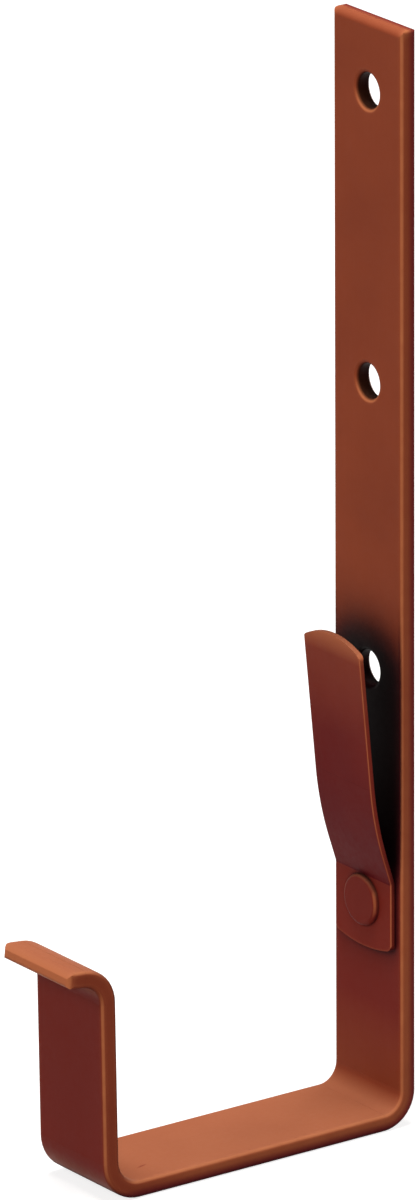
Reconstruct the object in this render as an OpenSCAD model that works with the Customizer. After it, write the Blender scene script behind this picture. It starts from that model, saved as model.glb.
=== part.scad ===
// Gutter bracket bent from one flat bar, with a riveted fold-over tongue.
//
// The long leg is screwed to a fascia or wall, the gutter lies in the square
// channel at the bottom with its front edge over the short lip, and the thin
// tongue is folded by hand over the gutter's rear edge.
// Frame: X across the bar, Y = 0 on the wall face of the leg with the gutter
// towards -Y, and +Z up. The origin is the middle screw hole at the wall face.

/* [Flat bar] */
// Width of the flat bar
bar_width = 25; // [22:0.5:40]
// Thickness of the flat bar, coating included
bar_thickness = 4; // [3:0.1:6]
// Radius on the long edges of the bar
bar_edge_radius = 1; // [0.3:0.1:1.4]
// Radius of the corners at the leg's top end, seen on the flat
leg_corner_radius = 0.8; // [0.3:0.1:4]
// Radius of the corners at the lip's tip, seen on the flat
lip_corner_radius = 1.7; // [0.3:0.1:4]

/* [Hanger] */
// Height of the leg, from under the bottom run to its top end
leg_height = 252.5; // [240:0.5:320]
// Radius of the front edge at the leg's top end
leg_end_radius = 1.8; // [0.5:0.1:2.8]
// Radius of the wall-side edge at the leg's top end
leg_back_radius = 1; // [0.3:0.1:1.2]
// Depth from the wall face to the outer face of the front leg, at its foot
hanger_depth = 84.3; // [70:0.1:160]
// Inner radius of the bend between the leg and the bottom run
back_bend_radius = 4.5; // [3:0.1:12]
// Inner radius of the bend between the bottom run and the front leg
front_bend_radius = 5.6; // [3:0.1:12]
// Height of the lip's underside over the underside of the bottom run
front_height = 51.3; // [40:0.1:120]
// Outward lean of the front leg, in degrees
front_lean = 0.8; // [0:0.1:5]
// Reach of the lip from the outer face of the front leg
lip_length = 9.1; // [6:0.1:20]
// Inner radius of the bend between the front leg and the lip
lip_bend_radius = 5; // [1:0.1:8]
// Upward slope of the lip, in degrees
lip_rise = 6; // [0:0.1:12]
// Angle by which the lip's underside closes in towards the tip, in degrees
lip_taper = 5.5; // [0.5:0.5:8]
// Radius of the upper edge at the lip's tip
lip_tip_radius = 2.5; // [0.5:0.1:3.2]
// Radius of the lower edge at the lip's tip
lip_under_radius = 0.9; // [0.2:0.1:1.8]

/* [Screw holes] */
// Diameter of the screw holes
screw_hole_d = 8; // [5:0.1:10]
// Radius of the rolled rim on the front of a screw hole
screw_rim_radius = 1; // [0.2:0.1:1.3]
// Width of the broken edge on the wall side of a screw hole
screw_chamfer = 0.7; // [0.2:0.1:1.3]
// Distance from the top end to the middle of the first hole
screw_inset = 16.3; // [12:0.1:25]
// Distance between neighbouring holes
screw_pitch = 66; // [40:0.5:72]

/* [Tongue] */
// Width of the tongue's strip
tongue_width = 20.5; // [16:0.1:22]
// Thickness of the tongue's strip
tongue_thickness = 1.3; // [0.8:0.1:2]
// Radius on the long edges of the tongue
tongue_edge_radius = 0.35; // [0.1:0.05:0.38]
// Radius of the arc that ends the tongue at its tip
tongue_tip_radius = 20; // [15:0.5:60]
// Radius of the arc that ends the tongue at its foot
tongue_foot_radius = 36; // [15:0.5:60]
// Radius of the corners at both ends of the tongue
tongue_corner_radius = 2; // [0.5:0.1:4]
// Length of the tongue's foot below the middle of the rivet
tongue_foot = 10.8; // [9:0.1:16]
// Inner radius of the tight bend where the tongue leaves the leg
tongue_lift_radius = 1.4; // [0.5:0.1:5]
// Angle at which the tongue first leaves the leg, in degrees
tongue_lift_angle = 18; // [12:0.5:30]
// Straight length between the two bends of the tongue
tongue_lift_length = 6; // [2:0.1:15]
// Inner radius of the long easing bend of the tongue
tongue_easing_radius = 80; // [20:1:150]
// Angle at which the upper tongue stands off, in degrees from upright
tongue_stand_angle = 5.6; // [2:0.1:11]
// Straight length from the easing bend to the tip
tongue_free_length = 34.4; // [25:0.1:60]

/* [Rivet] */
// Height of the rivet's middle over the underside of the bottom run
rivet_height = 50.5; // [36:0.1:70]
// Diameter of the rivet's shank
rivet_d = 5; // [4:0.1:6]
// Diameter of the rivet's head
rivet_head_d = 11.8; // [9:0.1:13]
// Height of the rivet's head
rivet_head_height = 1.2; // [0.8:0.1:2]
// Diameter of the closing end, flush with the wall face
rivet_tail_d = 8; // [7:0.1:10]
// Depth of the countersink that takes the closing end
rivet_tail_depth = 1.4; // [0.8:0.1:2]

/* [Clearances] */
// Gap around the rivet's shank and closing end
rivet_fit = 0.05; // [0:0.01:0.2]
// Gap between the leg and the tongue's foot
tongue_seat_gap = 0.02; // [0.02:0.01:0.2]
// Gap between the rivet's head and the bend over it
head_clearance = 0.1; // [0:0.05:1]
// Swell of a strip's section at a bend, on every side
bend_swell = 0.01; // [0.008:0.001:0.02]
// Length by which a straight piece reaches into the bend next to it
bend_lap = 0.1; // [0.05:0.01:0.12]
// Overrun of a rounded corner past the strip's side, so that the two cross cleanly
corner_overrun = 0.03; // [0.02:0.01:0.06]

/* [Hidden] */
$fn = 96;
cut = 1;
screw_rows = [-1, 0, 1];
// straight lengths of the bar between its bends
front_turn = 90 - front_lean;
lip_turn = 90 - front_lean - lip_rise;
back_setback = back_bend_radius + bar_thickness;
front_setback = (front_bend_radius + bar_thickness) * tan(front_turn / 2);
lip_setback = lip_bend_radius * tan(lip_turn / 2);
leg_run = leg_height - back_setback;
bottom_run = hanger_depth - back_setback - front_setback;
front_run = front_height / cos(front_lean) - front_setback - lip_setback;
lip_run = lip_length - lip_setback;
// end radii, limited by the thickness they share
leg_front_edge = min(leg_end_radius, 0.68 * bar_thickness);
leg_back_edge = min(leg_back_radius, 0.3 * bar_thickness);
lip_upper_edge = min(lip_tip_radius, 0.64 * bar_thickness);
lip_lower_edge = min(lip_under_radius, 0.35 * bar_thickness);
// heights from the origin, which is the middle screw hole
underside_z = screw_inset + screw_pitch - leg_height;
rivet_z = underside_z + rivet_height;
tongue_foot_z = rivet_z - tongue_foot;
tongue_flat = tongue_foot + rivet_head_d / 2 + head_clearance;
tongue_back = bar_thickness + tongue_seat_gap;
tongue_front = tongue_back + tongue_thickness;
tongue_tip_z = tongue_foot_z + tongue_flat
    + (tongue_lift_radius + tongue_thickness / 2) * sin(tongue_lift_angle)
    + tongue_lift_length * cos(tongue_lift_angle)
    + (tongue_easing_radius + tongue_thickness / 2)
        * (sin(tongue_lift_angle) - sin(tongue_stand_angle))
    + tongue_free_length * cos(tongue_stand_angle);
rivet_head_edge = min(0.9, 0.75 * rivet_head_height);

// Rounded rectangle, centred: the section of a rolled strip
module round_rect(w, h, r) {
    square([w - 2 * r, h], center = true);
    square([w, h - 2 * r], center = true);
    for (x = [-1, 1], y = [-1, 1])
        translate([x * (w / 2 - r), y * (h / 2 - r)]) circle(r = r);
}

// Outline of a strip up to y = l, its far corners rounded by left and by right
module round_ended(w, l, left, right) {
    translate([-w / 2, -cut]) square([w, l - max(left, right) + cut]);
    translate([-w / 2 + left, -cut]) square([w - left - right, l + cut]);
    translate([-w / 2 + left, l - left]) circle(r = left);
    translate([w / 2 - right, l - right]) circle(r = right);
    translate([-w / 2, -cut]) square([w / 2, l - left + cut]);
    translate([0, -cut]) square([w / 2, l - right + cut]);
}

// Straight piece of strip along +Z, lapped into what lies before and after it
module straight(w, t, r, l) {
    translate([0, 0, -bend_lap]) linear_extrude(height = l + 2 * bend_lap) round_rect(w, t, r);
}

// Straight piece along +Z whose far end is rounded on every edge, by back on its -Y side
// and by front on its +Y side
module straight_end(w, t, r, l, corner, back, front) {
    intersection() {
        straight(w, t, r, l);
        rotate([90, 0, 90]) linear_extrude(height = w + cut, center = true)
            round_ended(t, l, back, front);
        rotate([90, 0, 0]) linear_extrude(height = t + cut, center = true)
            round_ended(w, l, corner, corner);
    }
}

// Bend that starts along +Z and turns towards -Y
module bend(w, t, r, inner, angle) {
    translate([0, -inner - t / 2, 0])
        rotate([90, 0, 90])
            rotate_extrude(angle = angle)
                translate([inner + t / 2, 0])
                    round_rect(t + 2 * bend_swell, w + 2 * bend_swell, r + bend_swell);
}

// Moves what follows to the far end of such a bend
module after_bend(t, inner, angle) {
    translate([0, -inner - t / 2, 0])
        rotate([angle, 0, 0])
            translate([0, inner + t / 2, 0]) children();
}

// Bar pieces with the section of the flat bar
module bar(l) { straight(bar_width, bar_thickness, bar_edge_radius, l); }
module bar_end(l, corner, back, front) {
    straight_end(bar_width, bar_thickness, bar_edge_radius, l, corner, back, front);
}
module bar_bend(inner, angle) {
    bend(bar_width, bar_thickness, bar_edge_radius, inner, angle);
}

// Lip, drawn on from the top of the front leg: it turns back to the outside
module lip() {
    under = lip_lower_edge;
    mirror([0, 1, 0]) {
        bar_bend(lip_bend_radius, lip_turn);
        after_bend(bar_thickness, lip_bend_radius, lip_turn) intersection() {
            bar_end(lip_run, lip_corner_radius, under, lip_upper_edge);
            translate([0, -bar_thickness / 2, 0]) rotate([-lip_taper, 0, 0])
                translate([0, bar_thickness, 0]) rotate([90, 0, 90])
                    linear_extrude(height = bar_width + cut, center = true)
                        round_ended(2 * bar_thickness, lip_run, under, under);
        }
    }
}

// The bent bar without its holes
module bent_bar() {
    translate([0, -bar_thickness / 2, underside_z + back_setback]) {
        bar_end(leg_run, leg_corner_radius, leg_front_edge, leg_back_edge);
        mirror([0, 0, 1]) {
            bar_bend(back_bend_radius, 90);
            after_bend(bar_thickness, back_bend_radius, 90) {
                bar(bottom_run);
                translate([0, 0, bottom_run]) {
                    bar_bend(front_bend_radius, front_turn);
                    after_bend(bar_thickness, front_bend_radius, front_turn) {
                        bar(front_run);
                        translate([0, 0, front_run]) lip();
                    }
                }
            }
        }
    }
}

// Punched hole through a sheet from y = 0 to y = -t: its rim is rolled over on the front
// and broken on the wall side
module punched_hole(d, t, rim, chamfer) {
    rotate([90, 0, 0]) {
        translate([0, 0, -cut]) cylinder(d = d, h = t + 2 * cut);
        translate([0, 0, -cut])
            cylinder(r1 = d / 2 + chamfer + cut, r2 = d / 2, h = chamfer + cut);
        rotate_extrude() difference() {
            translate([0, t - rim]) square([d / 2 + rim, rim + cut]);
            translate([d / 2 + rim, t - rim]) circle(r = rim);
        }
    }
}

// Space of the rivet from the wall face outwards, larger all round by the gap
module rivet_seat(gap) {
    rotate([90, 0, 0]) {
        translate([0, 0, -cut]) cylinder(d = rivet_d + 2 * gap, h = bar_thickness + 3 * cut);
        cylinder(
            d1 = rivet_tail_d + 2 * gap,
            d2 = rivet_d + 2 * gap,
            h = rivet_tail_depth + gap
        );
    }
}

module strap() {
    color("#803a2a") difference() {
        bent_bar();
        for (row = screw_rows)
            translate([0, 0, row * screw_pitch])
                punched_hole(screw_hole_d, bar_thickness, screw_rim_radius, screw_chamfer);
        translate([0, 0, rivet_z]) rivet_seat(rivet_fit);
    }
}

// The tongue's strip, bent but not yet cut at its ends
module bent_strip() {
    w = tongue_width;
    t = tongue_thickness;
    r = tongue_edge_radius;
    ease = tongue_lift_angle - tongue_stand_angle;
    straight(w, t, r, tongue_flat);
    translate([0, 0, tongue_flat]) {
        bend(w, t, r, tongue_lift_radius, tongue_lift_angle);
        after_bend(t, tongue_lift_radius, tongue_lift_angle) {
            straight(w, t, r, tongue_lift_length);
            translate([0, 0, tongue_lift_length]) mirror([0, 1, 0]) {
                bend(w, t, r, tongue_easing_radius, ease);
                after_bend(t, tongue_easing_radius, ease) straight(w, t, r, tongue_free_length);
            }
        }
    }
}

// What is cut away below an arc that touches z = 0, and around its rounded corners
module arc_trim(w, r, corner, depth) {
    x = w / 2 - corner + corner_overrun;
    y = r - sqrt(pow(r - corner, 2) - x * x);
    tangent = x * r / (r - corner);
    rotate([90, 0, 0]) linear_extrude(height = depth, center = true) difference() {
        translate([-w / 2 - cut, -cut]) square([w + 2 * cut, y + cut]);
        intersection() {
            translate([0, r]) circle(r = r);
            translate([-tangent, -cut]) square([2 * tangent, y + 2 * cut]);
        }
        for (side = [-1, 1])
            translate([side * x, y]) circle(r = corner);
    }
}

module tongue() {
    depth = 4 * (tongue_easing_radius + bar_thickness);
    color("#68221f") difference() {
        translate([0, -tongue_back - tongue_thickness / 2, tongue_foot_z]) bent_strip();
        translate([0, 0, tongue_foot_z])
            arc_trim(tongue_width, tongue_foot_radius, tongue_corner_radius, depth);
        translate([0, 0, tongue_tip_z]) mirror([0, 0, 1])
            arc_trim(tongue_width, tongue_tip_radius, tongue_corner_radius, depth);
        translate([0, 0, rivet_z])
            rotate([90, 0, 0]) cylinder(d = rivet_d + 2 * rivet_fit, h = tongue_front + cut);
    }
}

module rivet() {
    color("#7a3425") translate([0, 0, rivet_z]) rotate([90, 0, 0]) {
        cylinder(d = rivet_d, h = tongue_front + rivet_head_height / 2);
        cylinder(d1 = rivet_tail_d, d2 = rivet_d, h = rivet_tail_depth);
        translate([0, 0, tongue_front]) rotate_extrude() {
            square([rivet_head_d / 2 - rivet_head_edge, rivet_head_height]);
            square([rivet_head_d / 2, rivet_head_height - rivet_head_edge]);
            translate([rivet_head_d / 2 - rivet_head_edge, rivet_head_height - rivet_head_edge])
                intersection() {
                    circle(r = rivet_head_edge);
                    square(rivet_head_edge);
                }
        }
    }
}

strap();
tongue();
rivet();
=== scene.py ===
# %% [markdown]
# # Gutter bracket
# This bracket is one flat steel bar, bent into a long leg, a square channel and
# a short lip, with a thin tongue riveted to the leg. All of it has one red-brown
# coat, so it was probably coated after it had been bent and riveted.
# The solids come from the packed model, in metres, with the origin at the
# middle screw hole. +Z is up, and the wall is on the +Y side.

# %% Load the model
import math

import bpy
from mathutils import Matrix, Vector


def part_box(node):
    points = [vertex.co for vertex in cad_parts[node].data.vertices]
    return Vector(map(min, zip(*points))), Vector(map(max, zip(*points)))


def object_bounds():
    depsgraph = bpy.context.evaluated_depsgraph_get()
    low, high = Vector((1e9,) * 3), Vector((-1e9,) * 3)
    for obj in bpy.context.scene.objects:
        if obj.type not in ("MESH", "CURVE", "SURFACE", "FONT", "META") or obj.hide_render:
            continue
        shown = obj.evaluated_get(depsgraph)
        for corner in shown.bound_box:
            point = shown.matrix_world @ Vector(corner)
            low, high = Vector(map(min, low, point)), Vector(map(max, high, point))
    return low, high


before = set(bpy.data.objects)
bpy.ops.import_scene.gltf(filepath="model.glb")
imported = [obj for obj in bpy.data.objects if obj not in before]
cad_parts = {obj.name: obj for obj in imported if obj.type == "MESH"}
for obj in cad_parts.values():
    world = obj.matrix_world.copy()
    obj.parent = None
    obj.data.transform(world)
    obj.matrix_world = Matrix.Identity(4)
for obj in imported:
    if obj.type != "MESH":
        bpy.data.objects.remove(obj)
cad_low, cad_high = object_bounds()
print("CAD box in mm:", [round(v * 1000, 1) for v in (*cad_low, *cad_high)])
print("nodes:", sorted(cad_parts))

# %% [markdown]
# ## The camera
# A long lens far away keeps the upright leg upright, so its two sides stay
# almost parallel. Blender's camera looks along its own -Z, so its three axes
# are worked out from the direction back towards the camera, and then written
# into its matrix. An aim point is easier to read than a rotation.

# %% Place the camera
AIM = Vector((0.0, -0.046651, -0.041575))
AZIMUTH = math.radians(54.156)
ELEVATION = math.radians(18.877)
ROLL = math.radians(-0.282)
DISTANCE = 2.997155
LENS_MM = 414.43

back = Vector((
    math.sin(AZIMUTH) * math.cos(ELEVATION),
    -math.cos(AZIMUTH) * math.cos(ELEVATION),
    math.sin(ELEVATION),
))
level_right = Vector((math.cos(AZIMUTH), math.sin(AZIMUTH), 0.0))
level_up = back.cross(level_right)
right = level_right * math.cos(ROLL) + level_up * math.sin(ROLL)
up = level_up * math.cos(ROLL) - level_right * math.sin(ROLL)

camera_data = bpy.data.cameras.new("camera")
camera_data.lens = LENS_MM
camera_data.sensor_width = 36.0
camera_data.clip_start = 0.1
camera_data.clip_end = 30.0
camera = bpy.data.objects.new("camera", camera_data)
bpy.context.scene.collection.objects.link(camera)
camera.matrix_world = (
    Matrix.Translation(AIM + back * DISTANCE)
    @ Matrix((right, up, back)).transposed().to_4x4()
)
bpy.context.scene.camera = camera
print("camera at", [round(v, 3) for v in camera.matrix_world.translation])

# %% [markdown]
# ## Node helpers
# A hex colour is how a colour is usually written down, but a shader works with
# linear numbers. Blender could convert it in its colour picker, and a function
# with the standard formula does the same in a script.

# %% Turn a hex colour into a linear one
def linear(hex_colour):
    """An sRGB hex colour as linear RGBA, which is what a shader socket wants."""
    channels = [int(hex_colour[i:i + 2], 16) / 255 for i in (1, 3, 5)]
    values = [c / 12.92 if c <= 0.04045 else ((c + 0.055) / 1.055) ** 2.4 for c in channels]
    return (*values, 1.0)


print("the strap's red-brown, linear:", [round(v, 3) for v in linear("#8e432c")[:3]])

# %% [markdown]
# A Blender material is a graph of nodes. Each could be added and wired by hand,
# but that takes many lines. A small class adds and joins them instead, with a
# short name for each sum that the masks below need.

# %% Add and join nodes
class Graph:
    """A material's node tree, emptied, with short calls to add and join nodes."""

    def __init__(self, name):
        self.material = bpy.data.materials.new(name)
        self.material.use_nodes = True
        self.tree = self.material.node_tree
        self.tree.nodes.clear()
        print("started the material", name)

    def add(self, kind, inputs=None, **settings):
        """Add a node; an input is a value, or a socket to link to."""
        node = self.tree.nodes.new("ShaderNode" + kind)
        for key, value in settings.items():
            setattr(node, key, value)
        for key, value in (inputs or {}).items():
            if isinstance(value, bpy.types.NodeSocket):
                self.tree.links.new(value, node.inputs[key])
            else:
                node.inputs[key].default_value = value
        return node

    def math(self, operation, a, b):
        return self.add("Math", {0: a, 1: b}, operation=operation).outputs[0]

    def times(self, a, b):
        return self.math("MULTIPLY", a, b)

    def plus(self, a, b):
        return self.math("ADD", a, b)

    def larger(self, a, b):
        return self.math("MAXIMUM", a, b)

    def left_of(self, value, whole=1.0):
        """What is left of whole when value is taken away."""
        return self.plus(self.times(value, -1.0), whole)

    def distance(self, a, b):
        """How far two steps a and b at right angles lead."""
        return self.math("POWER", self.plus(self.times(a, a), self.times(b, b)), 0.5)

    def span(self, value, start, stop, low=0.0, top=1.0):
        """Stretch start...stop to low...top, and hold it at both ends."""
        return self.add("MapRange", {
            "Value": value, "From Min": start, "From Max": stop, "To Min": low, "To Max": top,
        }).outputs["Result"]


print("Graph can:", [name for name in vars(Graph) if not name.startswith("_")])

# %% [markdown]
# ## The coat
# All of the bracket has one satin red-brown coat. It isn't one flat colour: the
# lower half is a deeper red, edges and upward faces are paler, and the gap
# behind the tongue is nearly black. Most of that is how light falls, and here it
# is painted into the coat: the deeper red and the dark rims, corners and gap are
# painted shade, and the pale edges, hole rims and upward faces are painted
# light. Images painted by hand could do this, but they blur close up. A graph of
# noises and masks stays sharp and follows the shape by itself, so the coat is
# built from one, a step at a time, and each step lies over the one before.
#
# The three pieces share the painted top light and the painted shade colours.
# The tongue and the rivet are a deeper red than the strap.

# %% Mix the colours
# The first shared colour paints light on faces that look up. The other three paint shade: on faces
# turned away and in corners, on the rim, and in the gap and the holes.
SHARED = {"dust": "#b17152", "corner": "#340f16", "shade": "#6c1d26", "gap": "#0d0506"}
# In each piece the third colour is painted shade on the lower half, and also the nick's colour. The
# fourth is a painted highlight on edges.
COLOURS = {
    "strap": {"deep": "#8e432c", "pale": "#98492f", "low": "#7a2722", "edge": "#bd7049"},
    "tongue": {"deep": "#7f2c22", "pale": "#863026", "low": "#620f18", "edge": "#c4724d"},
    "rivet": {"deep": "#752921", "pale": "#7d2d25", "low": "#752921", "edge": "#b0623f"},
}
for piece, colours in COLOURS.items():
    colours.update(SHARED)
    print(piece, colours)

# %% [markdown]
# ### Starting the coats
# Every mask asks the same few questions: how far is this point from the middle
# of the bar, how high is it, and which way does it face? Object coordinates and
# the normal answer them, so a coat works them out once and keeps them. They are
# in metres, and the wall is on the +Y side. A seed moves each piece's noises,
# or the patches would run on from one piece to the next.

# %% Start the three coats
SEEDS = {"strap": 0.0, "tongue": 3.1, "rivet": 5.7}
HALF_WIDTHS = {"strap": 0.0125, "tongue": 0.01025, "rivet": 0.0059}


class Coat(Graph):
    """One piece's coat: what its masks share, and its tint so far."""

    def __init__(self, piece):
        super().__init__(piece + "_coat")
        self.colours = {key: linear(value) for key, value in COLOURS[piece].items()}
        self.tint = self.colours["deep"]
        seed = SEEDS[piece]
        self.place = self.add("TexCoord").outputs["Object"]
        self.noise_place = self.add(
            "VectorMath", {0: self.place, 1: (seed, seed * 0.7, seed * 1.3)}, operation="ADD"
        ).outputs["Vector"]
        spot = self.add("SeparateXYZ", {"Vector": self.place}).outputs
        self.from_middle = self.add("Math", {0: spot["X"]}, operation="ABSOLUTE").outputs[0]
        self.along, self.height = spot["Y"], spot["Z"]
        normal = self.add("TexCoord").outputs["Normal"]
        facing = self.add("SeparateXYZ", {"Vector": normal}).outputs
        self.faces_wall, self.faces_up = facing["Y"], facing["Z"]
        self.sideways = self.times(facing["X"], facing["X"])
        # At the side means in the last millimetre or so of the width
        side = HALF_WIDTHS[piece]
        self.at_side = self.span(self.from_middle, side - 0.0014, side - 0.0008)

    def noise(self, per_metre, detail, place=None):
        """A grey noise with so many patches per metre."""
        return self.add("TexNoise", {
            "Vector": place or self.noise_place,
            "Scale": per_metre, "Detail": detail, "Roughness": 0.5,
        }).outputs["Fac"]

    def lay(self, mask, colour):
        """Lay one of the piece's colours over its tint, as far as the mask says."""
        # Sockets 6 and 7 are the two colours of a Mix node
        inputs = {0: mask, 6: self.tint, 7: self.colours[colour]}
        self.tint = self.add("Mix", inputs, data_type="RGBA").outputs[2]


COATS = {piece: Coat(piece) for piece in COLOURS}
strap, tongue = COATS["strap"], COATS["tongue"]


def tell(step):
    """Print how far each coat's graph has grown."""
    print(step + ", nodes:", {piece: len(coat.tree.nodes) for piece, coat in COATS.items()})


tell("started")

# %% [markdown]
# ### The base
# Soft patches of two close reds, about 26 mm across, break up the flat colour,
# and faint lines along the bar are what rollers could leave under the paint.
# Both are a guess, and they are faint. One noise makes the patches, and a finer
# one, stretched along the bar, makes the lines.

# %% Lay the patches and the lines
for coat in COATS.values():
    coat.patches = coat.noise(per_metre=38.0, detail=4.0)
    coat.lay(coat.span(coat.patches, 0.36, 0.66), "pale")
    stretched = coat.add(
        "VectorMath", {0: coat.noise_place, 1: (1.0, 0.03, 0.03)}, operation="MULTIPLY"
    ).outputs["Vector"]
    coat.lines = coat.noise(per_metre=650.0, detail=2.0, place=stretched)
    coat.lay(coat.span(coat.lines, 0.35, 0.75, top=0.22), "deep")
tell("patches and lines")

# %% [markdown]
# ### The deeper red, painted shade
# The outer faces of the lower half are a deeper red, and so, a little, are the
# sides of the front leg. This deeper red is painted shade. A painted stripe would
# have a border, so the mask is a product of slow ramps: one on the height, which
# the patches blur, and one on where the face looks. It fades out near the rear
# bend.

# %% Paint shade on the lower half
LOWER_HALF = (-0.040, -0.090)         # heights over which the deeper red comes in
ABOVE_REAR_BEND = (-0.161, -0.143)    # heights over which it comes back above the bend
BEFORE_REAR_BEND = (-0.020, -0.030)   # and depths over which it comes back before it
FRONT_LEG = (-0.060, -0.080)          # depths over which it comes in on the sides
for piece, coat in COATS.items():
    lower_shade = coat.span(coat.plus(coat.height, coat.times(coat.patches, 0.03)), *LOWER_HALF)
    clear_of_bend = coat.larger(
        coat.span(coat.height, *ABOVE_REAR_BEND), coat.span(coat.along, *BEFORE_REAR_BEND)
    )
    outer_face = coat.span(coat.faces_wall, -0.80, -0.98)
    if piece != "strap":
        # On the tongue and the rivet only where they face down a little
        outer_face = coat.times(outer_face, coat.span(coat.faces_up, -0.005, -0.06))
    # Painted shade on the lower half's outer faces, and below, a little on the front leg's sides
    coat.lay(coat.times(coat.times(coat.times(lower_shade, clear_of_bend), outer_face), 0.9), "low")
    front_side = coat.times(
        coat.span(coat.sideways, 0.3, 0.8), coat.span(coat.along, *FRONT_LEG)
    )
    coat.lay(coat.times(front_side, 0.2), "low")
tell("deeper red")

# %% [markdown]
# ### Pale edges, a painted highlight
# Edges are painted paler and more orange: a painted highlight, where a rounded
# edge catches the light. Ambient occlusion that looks inwards is low near an
# outer edge, and the node needs no measuring. The long edges are rounded, so a
# formula on the normal picks the middle of the rounding.

# %% Paint a highlight on the edges
EDGE_REACH = {"strap": 0.0022, "tongue": 0.0009, "rivet": 0.0010}
EDGE_SHARE = {"strap": 0.7, "tongue": 0.3, "rivet": 0.35}
TO_BOTTOM_RUN = (0.05, -0.12)          # heights over which the strap's sides get paler
BEHIND_FRONT_BEND = (-0.078, -0.055)   # and depths over which this begins
for piece, coat in COATS.items():
    inner = coat.add(
        "AmbientOcclusion", {"Distance": EDGE_REACH[piece]}, inside=True, only_local=True, samples=6
    ).outputs["AO"]
    edge = coat.times(coat.span(inner, 0.80, 0.45), EDGE_SHARE[piece])
    # 4s(1 - s) is 1 where s, the squared X of the normal, is 0.5: at 45 degrees
    halfway = coat.times(coat.times(coat.sideways, 4.0), coat.left_of(coat.sideways))
    edge = coat.larger(edge, coat.times(coat.span(halfway, 0.30, 0.85), coat.at_side))
    if piece == "strap":
        # Painted light: the sides get paler and more orange towards the bottom run
        side = coat.times(
            coat.span(coat.sideways, 0.5, 0.9), coat.span(coat.height, *TO_BOTTOM_RUN)
        )
        side = coat.times(side, coat.span(coat.along, *BEHIND_FRONT_BEND))
        edge = coat.larger(edge, coat.times(side, 0.36))
    ragged = coat.span(coat.noise(per_metre=260.0, detail=3.0), 0.25, 0.75, low=0.65, top=1.0)
    shown = coat.times(coat.span(coat.faces_up, -0.4, 0.0), coat.span(coat.faces_wall, 0.4, 0.1))
    coat.edge = coat.times(coat.times(edge, ragged), shown)
    coat.lay(coat.edge, "edge")
tell("pale edges")

# %% [markdown]
# ### The lip and the tip
# The lip's blunt front gets the same painted highlight as an edge, and so does
# the tongue's tip, which pales slowly and then quickly over its last 5 mm. Both
# are places and not kinds of edge, so they are found by where they are.

# %% Paint light on the lip's front and the tongue's tip
LIP_FRONT = (-0.0865, -0.0915)       # depths over which the lip gets paler
TIP_SLOW, TIP_QUICK = 0.024, 0.005   # lengths over which the tip does
lip_front_light = strap.times(strap.span(strap.along, *LIP_FRONT), strap.span(strap.faces_wall, -0.3, -0.8))
strap.lay(strap.times(lip_front_light, 0.8), "edge")

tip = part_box("tongue")[1].z
slow = tongue.times(tongue.span(tongue.height, tip - TIP_SLOW, tip), 0.2)
quick = tongue.times(tongue.span(tongue.height, tip - TIP_QUICK, tip), 0.8)
patchy = tongue.span(tongue.patches, 0.2, 0.8, low=0.8, top=1.0)
tongue.lay(tongue.times(tongue.plus(slow, quick), patchy), "edge")
print("the tongue's tip is at", round(tip * 1000, 1), "mm")
tell("lip and tip")

# %% [markdown]
# ### Faces turned away in painted shade, and faces turned up in painted light
# The faces that look at the wall or the ground are painted dark, as painted
# shade. That is a guess, since a view from the front and above shows only their
# rims. The faces that look up are painted paler and more orange, as light from
# above would make them. Both are found by the normal, and the painted light
# fades towards the leg's top.

# %% Paint shade on what faces away, and light on what faces up
LEG_TOP = (0.060, 0.080)   # heights over which the painted top light fades
for coat in COATS.values():
    away = coat.larger(
        coat.span(coat.faces_wall, 0.2, 0.8), coat.span(coat.faces_up, -0.25, -0.85)
    )
    coat.away = coat.times(away, coat.span(coat.at_side, 0.0, 1.0, low=0.25, top=0.7))
    # Painted shade on the faces turned away
    coat.lay(coat.away, "corner")

    level = coat.times(
        coat.span(coat.faces_up, 0.2, 0.9), coat.span(coat.height, *LEG_TOP, low=1.0, top=0.35)
    )
    dust = coat.times(level, coat.span(coat.patches, 0.2, 0.8, low=0.75, top=1.0))
    # Painted light on the faces that look up
    coat.lay(coat.times(dust, 0.7), "dust")
tell("away and dust")

# %% [markdown]
# ### The strap's dark rim, painted shade
# A dark line of painted shade runs along the side, next to the wall and the
# ground, and round the rear bend. Its mask is a distance from the strap's outer
# face: plain sums on the two straight parts, and a radius in the bend. Measuring
# it in the graph keeps the line equally wide all the way.

# %% Draw the rim
BEND = 0.0085            # outer radius of the rear bend
UNDERSIDE = -0.1702      # height of the bottom run's lower face
RIM = (0.0024, 0.0010)   # distances from the outer face over which it darkens
to_wall = strap.left_of(strap.along, 0.0)
to_ground = strap.plus(strap.height, -UNDERSIDE)
past_bend = [strap.larger(strap.left_of(value, BEND), 0.0) for value in (to_wall, to_ground)]
depth = strap.left_of(strap.distance(*past_bend), BEND)
rim = strap.times(strap.span(depth, *RIM), strap.left_of(strap.away))
strap.lay(strap.times(rim, 0.85), "shade")
tell("rim")

# %% [markdown]
# ### The screw holes
# Each hole has a painted highlight on its lower rim and painted shade on its
# wall. The holes lie one above the other at the same pitch, so wrapping the
# height at that pitch lays them all on one, and one distance from its middle
# finds all three.

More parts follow.
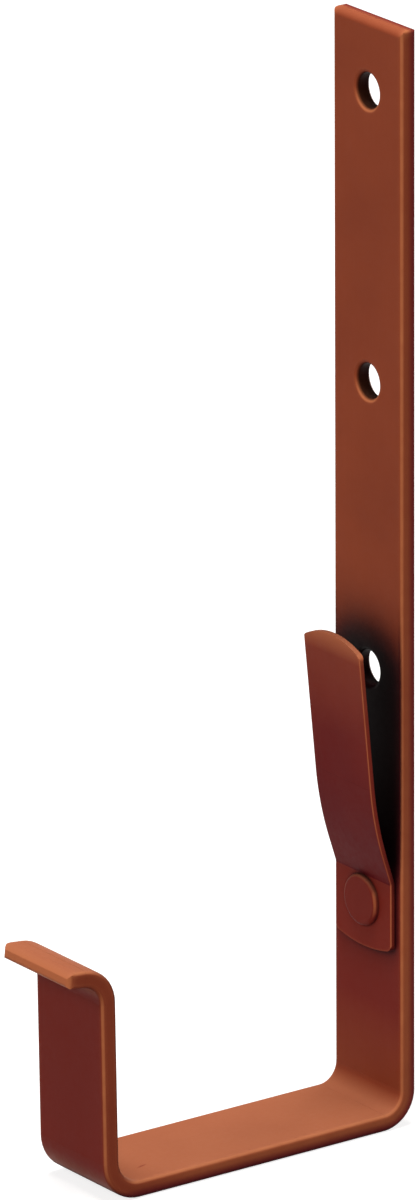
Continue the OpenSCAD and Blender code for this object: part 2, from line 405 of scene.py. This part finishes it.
# %% Mark the holes
HOLE_PITCH = 0.066
HOLE_RIM = (0.0050, 0.0047)      # distances from a hole's middle
HOLE_WALL = (0.0044, 0.0040)
ABOVE_RIVET = (-0.085, -0.080)   # or the wrap would find a fourth hole, below the rivet
level_with = strap.add(
    "Math", {0: strap.height, 1: HOLE_PITCH / 2, 2: -HOLE_PITCH / 2}, operation="WRAP"
).outputs[0]
radius = strap.distance(level_with, strap.from_middle)
punched = strap.span(strap.height, *ABOVE_RIVET)
hole_rim = strap.times(strap.span(radius, *HOLE_RIM), punched)
strap.lay(strap.times(strap.times(hole_rim, strap.span(strap.faces_up, 0.0, 0.4)), 0.7), "edge")
hole_wall_shade = strap.times(strap.span(radius, *HOLE_WALL), punched)
strap.lay(strap.times(hole_wall_shade, 0.93), "gap")
tell("screw holes")

# %% [markdown]
# ### The nick
# The bottom run has one short dark nick. It could be cut into the mesh, but it
# is under 4 mm long, so a spot of the deeper red is enough. A Mapping node
# squeezes space until the nick is a ball of radius 1, and a length tells how far
# from its middle a point is.

# %% Place the nick
NICK_AT = (0.0054, -0.0696, -0.1662)
NICK_TURN = math.radians(14.8)
NICK_HALF_SIZE = (0.0004, 0.0018, 0.0004)
in_nick = strap.add("Mapping", {
    "Vector": strap.place, "Location": NICK_AT,
    "Rotation": (0.0, 0.0, NICK_TURN), "Scale": NICK_HALF_SIZE,
}, vector_type="TEXTURE").outputs["Vector"]
from_nick = strap.add("VectorMath", {0: in_nick}, operation="LENGTH").outputs["Value"]
strap.lay(strap.times(strap.span(from_nick, 1.0, 0.4), 0.6), "low")
tell("nick")

# %% [markdown]
# ### Corners, painted shade
# Narrow corners are painted darker, as painted shade, and so is the strap all
# round the tongue's foot. Ambient occlusion is low in a corner, whatever pieces
# make it, so one node finds them all.

# %% Paint shade in the corners
CORNER_REACH = 0.004
FOOT_BOTTOM = (-0.138, -0.131)   # heights over which the foot's dark rim begins
FOOT_TOP = (-0.100, -0.110)      # and over which it ends
for piece, coat in COATS.items():
    near = coat.add("AmbientOcclusion", {"Distance": CORNER_REACH}, samples=8).outputs["AO"]
    coat.corner = coat.span(near, 0.88, 0.36)
    coat.lay(coat.times(coat.corner, 0.8), "corner")
    if piece == "strap":
        at_foot = coat.times(
            coat.span(coat.height, *FOOT_BOTTOM), coat.span(coat.height, *FOOT_TOP)
        )
        foot_shade = coat.times(at_foot, coat.span(near, 0.985, 0.80))
        coat.lay(coat.times(foot_shade, 0.75), "corner")
tell("corners")

# %% [markdown]
# ### The gap behind the tongue
# The gap is painted nearly black, as painted shade, with a dark red fringe.
# Occlusion with a longer reach finds it, but it also finds the inside of the
# channel and the rims near the ground, so the gap is kept to the heights beside
# the tongue.

# %% Paint shade in the gap
GAP_REACH = 0.022
GAP_BOTTOM = (-0.118, -0.108)     # heights over which the gap's dark begins
GAP_TOP = (-0.042, -0.062)        # and over which it ends
ROUNDED_EDGE = (0.0110, 0.0118)   # distances from the middle of the bar
for piece, coat in COATS.items():
    wide = coat.add("AmbientOcclusion", {"Distance": GAP_REACH}, samples=8).outputs["AO"]
    beside = coat.times(coat.span(coat.height, *GAP_BOTTOM), coat.span(coat.height, *GAP_TOP))
    coat.lay(coat.times(coat.span(wide, 0.97, 0.72), beside), "corner")
    if piece == "strap":
        # The painted shade's fringe runs on over the front half of the leg's rounded edge
        over = coat.times(
            coat.span(coat.faces_wall, -0.40, -0.80), coat.span(coat.from_middle, *ROUNDED_EDGE)
        )
        over = coat.times(over, coat.times(beside, coat.span(wide, 0.999, 0.95)))
        coat.lay(coat.times(over, 0.85), "corner")
    gap_shade = coat.times(coat.span(wide, 0.78, 0.56), beside)
    coat.lay(coat.times(gap_shade, 0.97), "gap")
tell("gap")

# %% [markdown]
# ### Gloss
# The coat is satin, neither a mirror nor chalk. Its roughness is grainy, a
# little smoother on the pale edges, and dull in the corners. One number would
# do from afar, but light on a real coat breaks up a little.

# %% Set the gloss
SATIN = (0.42, 0.52)   # least and most roughness on a plain face
for coat in COATS.values():
    gloss = coat.span(coat.noise(per_metre=900.0, detail=2.0), 0.3, 0.7, low=SATIN[0], top=SATIN[1])
    gloss = coat.plus(gloss, coat.times(coat.edge, -0.08))
    coat.gloss = coat.plus(gloss, coat.times(coat.corner, 0.18))
tell("gloss")

# %% [markdown]
# ### Relief
# Three bumps are laid on one another, from the broadest to the finest: slow
# waves, the lines along the bar, and the dimples that a sprayed coat often
# has. They are a guess too, and a fraction of a millimetre deep, so a bump is
# enough and the mesh stays as it is.

# %% Lay the relief
def relief(coat, height, strength, depth, under=None):
    """A bump from a height; under is the normal that it is laid on."""
    sockets = {"Height": height, "Strength": strength, "Distance": depth}
    if under is not None:
        sockets["Normal"] = under
    return coat.add("Bump", sockets).outputs["Normal"]


for coat in COATS.values():
    normal = relief(coat, coat.noise(per_metre=75.0, detail=1.0), strength=0.25, depth=0.0008)
    normal = relief(coat, coat.lines, strength=0.12, depth=0.0001, under=normal)
    dimples = coat.noise(per_metre=420.0, detail=1.5)
    coat.normal = relief(coat, dimples, strength=0.22, depth=0.00012, under=normal)
tell("relief")

# %% [markdown]
# ### Wearing the coats
# Each coat's tint, gloss and relief go into one shader, and each piece of the
# packed model gets its own coat. The specular level is small, so the lamps show
# only weakly in the coat.

# %% Give each node its coat
for piece, coat in COATS.items():
    shader = coat.add("BsdfPrincipled", {
        "Base Color": coat.tint, "Roughness": coat.gloss, "Normal": coat.normal,
        "IOR": 1.5, "Specular IOR Level": 0.04, "Specular Tint": coat.colours["dust"],
    })
    coat.add("OutputMaterial", {"Surface": shader.outputs["BSDF"]})
    cad_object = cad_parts[piece]
    cad_object.data.materials.clear()
    cad_object.data.materials.append(coat.material)
    print(piece, "wears", coat.material.name)
tell("finished")

# %% [markdown]
# ## The floor
# The bracket stands on a plain pale floor that reaches far behind it, so it is
# the background too. The camera sees it as white, while the bracket gets only
# a little light back from it: a mix on the Light Path node does both, and the
# floor still shows the bracket's soft shadow.

# %% Lay the floor
FLOOR_SIZE = 14.0
floor_mesh = bpy.data.meshes.new("floor")
half = FLOOR_SIZE / 2
floor_mesh.from_pydata(
    [(-half, -half, 0), (half, -half, 0), (half, half, 0), (-half, half, 0)], [], [(0, 1, 2, 3)]
)
floor = bpy.data.objects.new("floor", floor_mesh)
floor.location.z = cad_low.z
bpy.context.scene.collection.objects.link(floor)

g = Graph("floor_paint")
path = g.add("LightPath")
seen = g.larger(path.outputs["Is Camera Ray"], path.outputs["Is Glossy Ray"])
seen = g.larger(seen, path.outputs["Is Transmission Ray"])
dull = g.add("BsdfDiffuse", {"Color": (0.35, 0.35, 0.35, 1.0)})
pale = g.add("BsdfDiffuse", {"Color": (0.4, 0.4, 0.4, 1.0)})
glow = g.add("Emission", {"Color": (1.0, 1.0, 1.0, 1.0), "Strength": 0.8})
bright = g.add("AddShader", {0: pale.outputs[0], 1: glow.outputs[0]})
paint = g.add("MixShader", {0: seen, 1: dull.outputs[0], 2: bright.outputs[0]})
g.add("OutputMaterial", {"Surface": paint.outputs[0]})
floor_mesh.materials.append(g.material)
print("floor at z =", round(cad_low.z * 1000, 2), "mm")

# %% [markdown]
# ## The light
# Plain soft studio light from four square boxes, two metres away. The one
# overhead is the strongest, so the bottom run and the lip are the palest faces.
# A dimmer one in front lights the leg, one on the right lights its near side,
# and one behind keeps the back from going black.

# %% Place the lights
BOX_DISTANCE = 2.0
BOX_SIZE = 0.9


def softbox(name, azimuth, elevation, watts, colour):
    """A square area light that looks at the bracket from that direction."""
    a, e = math.radians(azimuth), math.radians(elevation)
    towards = Vector((math.sin(a) * math.cos(e), -math.cos(a) * math.cos(e), math.sin(e)))
    data = bpy.data.lights.new(name, "AREA")
    data.shape = "SQUARE"
    data.size = BOX_SIZE
    data.energy = watts
    data.color = colour
    lamp = bpy.data.objects.new(name, data)
    lamp.location = AIM + towards * BOX_DISTANCE
    lamp.rotation_mode = "QUATERNION"
    lamp.rotation_quaternion = towards.to_track_quat("Z", "Y")
    bpy.context.scene.collection.objects.link(lamp)
    print(name, "at", [round(v, 2) for v in lamp.location], watts, "W")


softbox("overhead", 20, 85, 51, (1.0, 0.97, 0.93))
softbox("front", -5, 32, 9, (1.0, 0.92, 0.90))
softbox("right", 62, 15, 10.5, (1.0, 0.94, 0.90))
softbox("back", 200, 18, 15, (1.0, 0.95, 0.92))

# %% [markdown]
# ## The world
# A dim white world stands for the light that a room sends back from all sides.
# Another weak lamp could do it, but a world has no direction and no edge. The
# Standard view adds no tone curve of its own to the colours.

# %% Light the rest dimly
world = bpy.data.worlds.new("studio")
bpy.context.scene.world = world
world.use_nodes = True
sky = world.node_tree.nodes["Background"]
sky.inputs["Color"].default_value = (1.0, 1.0, 1.0, 1.0)
sky.inputs["Strength"].default_value = 0.04
bpy.context.scene.view_settings.view_transform = "Standard"
print("world strength", round(sky.inputs["Strength"].default_value, 3))

# %% [markdown]
# ## The end
